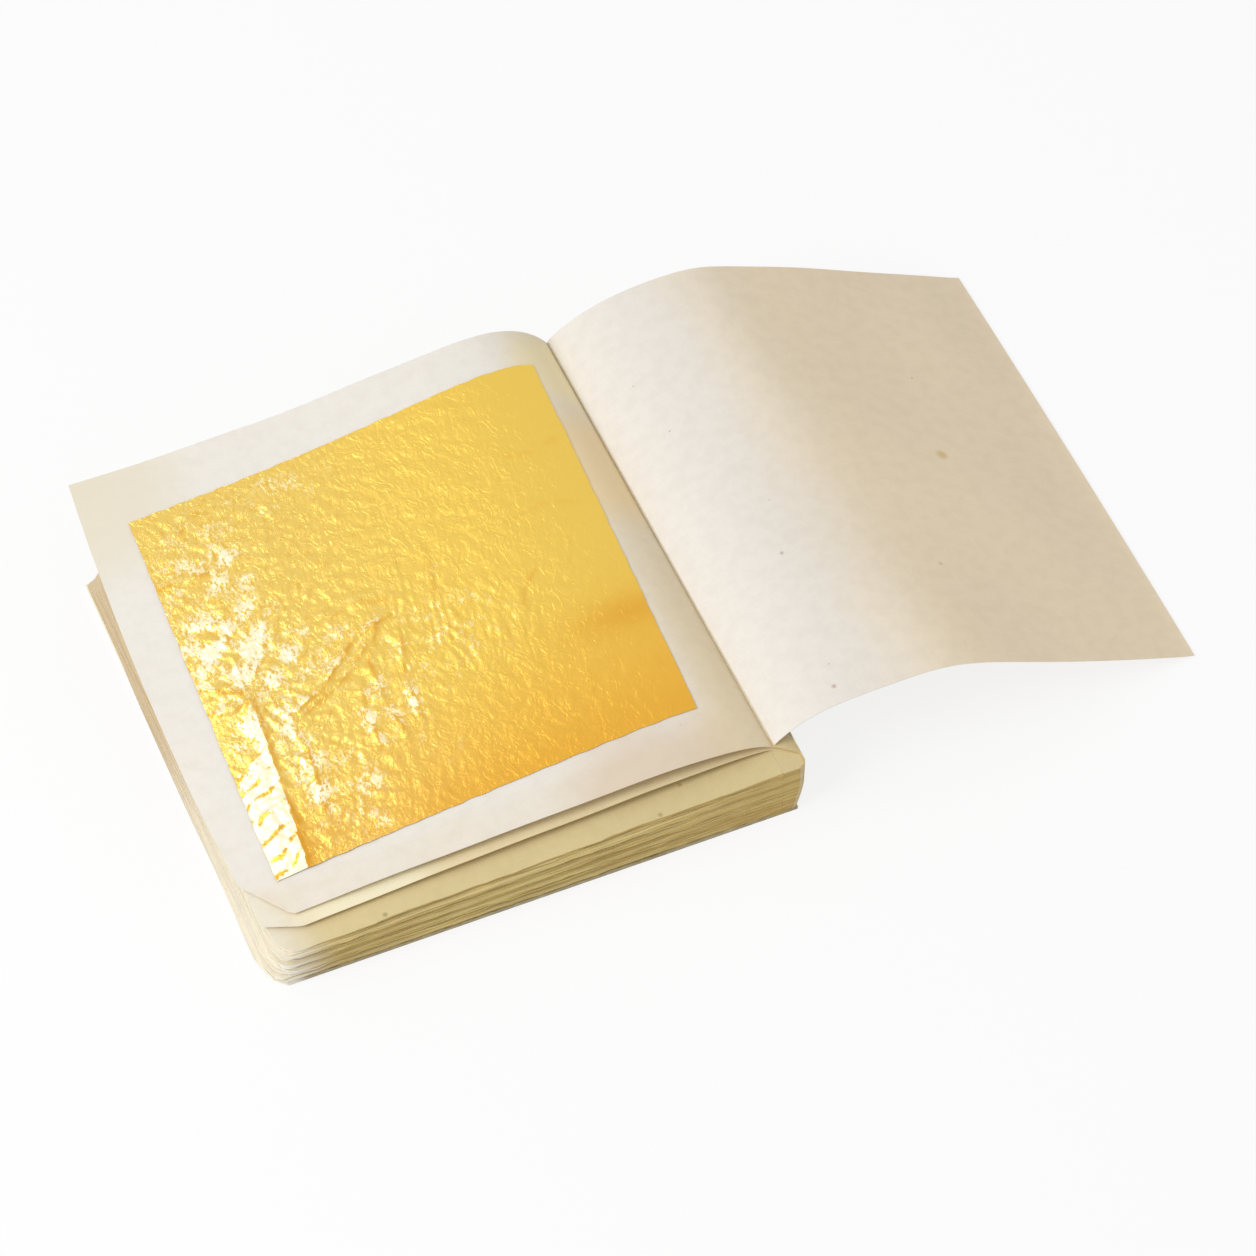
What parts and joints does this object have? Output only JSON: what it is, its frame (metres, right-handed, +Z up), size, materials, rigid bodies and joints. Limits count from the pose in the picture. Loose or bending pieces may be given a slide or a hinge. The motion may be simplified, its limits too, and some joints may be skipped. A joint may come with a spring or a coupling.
{
  "type": "gold leaf booklet",
  "caption": "Booklet of thin paper leaves with square sheets of gold leaf between them, bound along one edge, lying open with its top leaf turned over to the table",
  "frame": {"origin": "centre of the back cover's underside", "axes": "+X from the free edges to the spine, +Y from front to back along the spine, +Z up off the table"},
  "size_m": [0.1817, 0.1056, 0.0267],
  "materials": {
    "card": "matt",
    "strip": "matt",
    "steel": "satin",
    "block_paper": "matt",
    "page_paper": "matt",
    "turned_paper": "matt",
    "gold": "bright, crumpled"
  },
  "bodies": {
    "booklet": {"back_cover": "card", "spine_strip": "strip", "staples": "steel", "bound_margins": "block_paper", "gold_01": "gold"},
    "leaf_01": {"leaf_01": "block_paper", "gold_02": "gold"},
    "leaf_02": {"leaf_02": "block_paper", "gold_03": "gold"},
    "leaf_03": {"leaf_03": "block_paper", "gold_04": "gold"},
    "leaf_04": {"leaf_04": "block_paper", "gold_05": "gold"},
    "leaf_05": {"leaf_05": "block_paper", "gold_06": "gold"},
    "leaf_06": {"leaf_06": "block_paper", "gold_07": "gold"},
    "leaf_07": {"leaf_07": "block_paper", "gold_08": "gold"},
    "leaf_08": {"leaf_08": "block_paper", "gold_09": "gold"},
    "leaf_09": {"leaf_09": "block_paper", "gold_10": "gold"},
    "leaf_10": {"leaf_10": "block_paper", "gold_11": "gold"},
    "leaf_11": {"leaf_11": "block_paper", "gold_12": "gold"},
    "leaf_12": {"leaf_12": "block_paper", "gold_13": "gold"},
    "leaf_13": {"leaf_13": "block_paper", "gold_14": "gold"},
    "leaf_14": {"leaf_14": "block_paper", "gold_15": "gold"},
    "leaf_15": {"leaf_15": "block_paper", "gold_16": "gold"},
    "leaf_16": {"leaf_16": "block_paper", "gold_17": "gold"},
    "leaf_17": {"leaf_17": "block_paper", "gold_18": "gold"},
    "leaf_18": {"leaf_18": "block_paper", "gold_19": "gold"},
    "leaf_19": {"leaf_19": "block_paper", "gold_20": "gold"},
    "leaf_20": {"leaf_20": "block_paper", "gold_21": "gold"},
    "leaf_21": {"leaf_21": "block_paper", "gold_22": "gold"},
    "leaf_22": {"leaf_22": "block_paper", "gold_23": "gold"},
    "second_page": {"second_page": "page_paper", "gold_24": "gold"},
    "open_page": {"open_page": "page_paper"},
    "shown_gold": {"gold_25": "gold"},
    "turned_leaf_arch": {"turned_leaf_arch": "turned_paper"},
    "turned_leaf_fall": {"turned_leaf_fall": "turned_paper"}
  },
  "joints": [
    {"name": "leaf_01_turn", "type": "hinge", "parent": "booklet", "child": "leaf_01", "pos_m": [0.045, 0, 0.00111], "axis": [0, 1, 0.0001], "range_deg": [0, 0.828]},
    {"name": "leaf_02_turn", "type": "hinge", "parent": "booklet", "child": "leaf_02", "pos_m": [0.045, 0, 0.00156], "axis": [0, 1, 0.0005], "range_deg": [0, 1.65]},
    {"name": "leaf_03_turn", "type": "hinge", "parent": "booklet", "child": "leaf_03", "pos_m": [0.045, 0, 0.00203], "axis": [0, 1, 0.0011], "range_deg": [0, 2.46]},
    {"name": "leaf_04_turn", "type": "hinge", "parent": "booklet", "child": "leaf_04", "pos_m": [0.045, 0, 0.00251], "axis": [0, 1, 0.0019], "range_deg": [0, 3.28]},
    {"name": "leaf_05_turn", "type": "hinge", "parent": "booklet", "child": "leaf_05", "pos_m": [0.045, 0, 0.00332], "axis": [0, 1, 0.003], "range_deg": [0, 4.1]},
    {"name": "leaf_06_turn", "type": "hinge", "parent": "booklet", "child": "leaf_06", "pos_m": [0.045, 0, 0.00383], "axis": [0, 1, 0.0043], "range_deg": [0, 4.92]},
    {"name": "leaf_07_turn", "type": "hinge", "parent": "booklet", "child": "leaf_07", "pos_m": [0.045, 0, 0.00434], "axis": [0, 1, 0.0058], "range_deg": [0, 5.74]},
    {"name": "leaf_08_turn", "type": "hinge", "parent": "booklet", "child": "leaf_08", "pos_m": [0.045, 0, 0.00487], "axis": [0, 1, 0.0076], "range_deg": [0, 6.55]},
    {"name": "leaf_09_turn", "type": "hinge", "parent": "booklet", "child": "leaf_09", "pos_m": [0.045, 0, 0.00573], "axis": [0, 1, 0.0097], "range_deg": [0, 7.37]},
    {"name": "leaf_10_turn", "type": "hinge", "parent": "booklet", "child": "leaf_10", "pos_m": [0.045, 0, 0.00628], "axis": [0, 0.9999, 0.0119], "range_deg": [0, 8.19]},
    {"name": "leaf_11_turn", "type": "hinge", "parent": "booklet", "child": "leaf_11", "pos_m": [0.045, 0, 0.00684], "axis": [0, 0.9999, 0.0144], "range_deg": [0, 9.01]},
    {"name": "leaf_12_turn", "type": "hinge", "parent": "booklet", "child": "leaf_12", "pos_m": [0.045, 0, 0.00741], "axis": [0, 0.9999, 0.0172], "range_deg": [0, 9.83]},
    {"name": "leaf_13_turn", "type": "hinge", "parent": "booklet", "child": "leaf_13", "pos_m": [0.045, 0, 0.00832], "axis": [0, 0.9998, 0.0202], "range_deg": [0, 10.65]},
    {"name": "leaf_14_turn", "type": "hinge", "parent": "booklet", "child": "leaf_14", "pos_m": [0.045, 0, 0.00891], "axis": [0, 0.9997, 0.0234], "range_deg": [0, 11.46]},
    {"name": "leaf_15_turn", "type": "hinge", "parent": "booklet", "child": "leaf_15", "pos_m": [0.045, 0, 0.00952], "axis": [0, 0.9996, 0.0268], "range_deg": [0, 12.28]},
    {"name": "leaf_16_turn", "type": "hinge", "parent": "booklet", "child": "leaf_16", "pos_m": [0.045, 0, 0.01014], "axis": [0, 0.9995, 0.0305], "range_deg": [0, 13.1]},
    {"name": "leaf_17_turn", "type": "hinge", "parent": "booklet", "child": "leaf_17", "pos_m": [0.045, 0, 0.01109], "axis": [0, 0.9994, 0.0345], "range_deg": [0, 13.92]},
    {"name": "leaf_18_turn", "type": "hinge", "parent": "booklet", "child": "leaf_18", "pos_m": [0.045, 0, 0.01173], "axis": [0, 0.9993, 0.0386], "range_deg": [0, 14.74]},
    {"name": "leaf_19_turn", "type": "hinge", "parent": "booklet", "child": "leaf_19", "pos_m": [0.045, 0, 0.01239], "axis": [0, 0.9991, 0.043], "range_deg": [0, 15.55]},
    {"name": "leaf_20_turn", "type": "hinge", "parent": "booklet", "child": "leaf_20", "pos_m": [0.045, 0, 0.01305], "axis": [0, 0.9989, 0.0477], "range_deg": [0, 16.37]},
    {"name": "leaf_21_turn", "type": "hinge", "parent": "booklet", "child": "leaf_21", "pos_m": [0.045, 0, 0.01405], "axis": [0, 0.9986, 0.0525], "range_deg": [0, 17.19]},
    {"name": "leaf_22_turn", "type": "hinge", "parent": "booklet", "child": "leaf_22", "pos_m": [0.045, 0, 0.01474], "axis": [0, 0.9983, 0.0576], "range_deg": [0, 18]},
    {"name": "second_page_turn", "type": "hinge", "parent": "leaf_22", "child": "second_page", "pos_m": [0.04435, 0.0062, 0.0156], "axis": [-0.0152, 0.9983, 0.0567], "range_deg": [0, 8]},
    {"name": "open_page_turn", "type": "hinge", "parent": "second_page", "child": "open_page", "pos_m": [0.04435, 0.0062, 0.016], "axis": [-0.0152, 0.9983, 0.0567], "range_deg": [0, 50]},
    {"name": "shown_gold_lift", "type": "slide", "parent": "open_page", "child": "shown_gold", "axis": [-0.06, -0.0701, 0.9957], "range_m": [0, 0.01]},
    {"name": "turned_leaf_turn", "type": "hinge", "parent": "booklet", "child": "turned_leaf_arch", "pos_m": [0.04505, 0.0062, 0.0163], "axis": [-0.0152, 0.9983, 0.0567], "range_deg": [-80, 0]},
    {"name": "turned_leaf_uncurl", "type": "hinge", "parent": "turned_leaf_arch", "child": "turned_leaf_fall", "pos_m": [0.06941, 0.00584, 0.02357], "axis": [-0.0078, 0.9979, 0.0645], "range_deg": [-40, 0]}
  ],
  "couplings": [
    {"joint": "leaf_01_turn", "follows": "leaf_22_turn", "ratio": 0.045455},
    {"joint": "leaf_02_turn", "follows": "leaf_22_turn", "ratio": 0.090909},
    {"joint": "leaf_03_turn", "follows": "leaf_22_turn", "ratio": 0.13636},
    {"joint": "leaf_04_turn", "follows": "leaf_22_turn", "ratio": 0.18182},
    {"joint": "leaf_05_turn", "follows": "leaf_22_turn", "ratio": 0.22727},
    {"joint": "leaf_06_turn", "follows": "leaf_22_turn", "ratio": 0.27273},
    {"joint": "leaf_07_turn", "follows": "leaf_22_turn", "ratio": 0.31818},
    {"joint": "leaf_08_turn", "follows": "leaf_22_turn", "ratio": 0.36364},
    {"joint": "leaf_09_turn", "follows": "leaf_22_turn", "ratio": 0.40909},
    {"joint": "leaf_10_turn", "follows": "leaf_22_turn", "ratio": 0.45454},
    {"joint": "leaf_11_turn", "follows": "leaf_22_turn", "ratio": 0.5},
    {"joint": "leaf_12_turn", "follows": "leaf_22_turn", "ratio": 0.54546},
    {"joint": "leaf_13_turn", "follows": "leaf_22_turn", "ratio": 0.59091},
    {"joint": "leaf_14_turn", "follows": "leaf_22_turn", "ratio": 0.63636},
    {"joint": "leaf_15_turn", "follows": "leaf_22_turn", "ratio": 0.68182},
    {"joint": "leaf_16_turn", "follows": "leaf_22_turn", "ratio": 0.72727},
    {"joint": "leaf_17_turn", "follows": "leaf_22_turn", "ratio": 0.77273},
    {"joint": "leaf_18_turn", "follows": "leaf_22_turn", "ratio": 0.81818},
    {"joint": "leaf_19_turn", "follows": "leaf_22_turn", "ratio": 0.86364},
    {"joint": "leaf_20_turn", "follows": "leaf_22_turn", "ratio": 0.90909},
    {"joint": "leaf_21_turn", "follows": "leaf_22_turn", "ratio": 0.95454},
    {"joint": "turned_leaf_uncurl", "follows": "turned_leaf_turn", "ratio": 0.5}
  ]
}
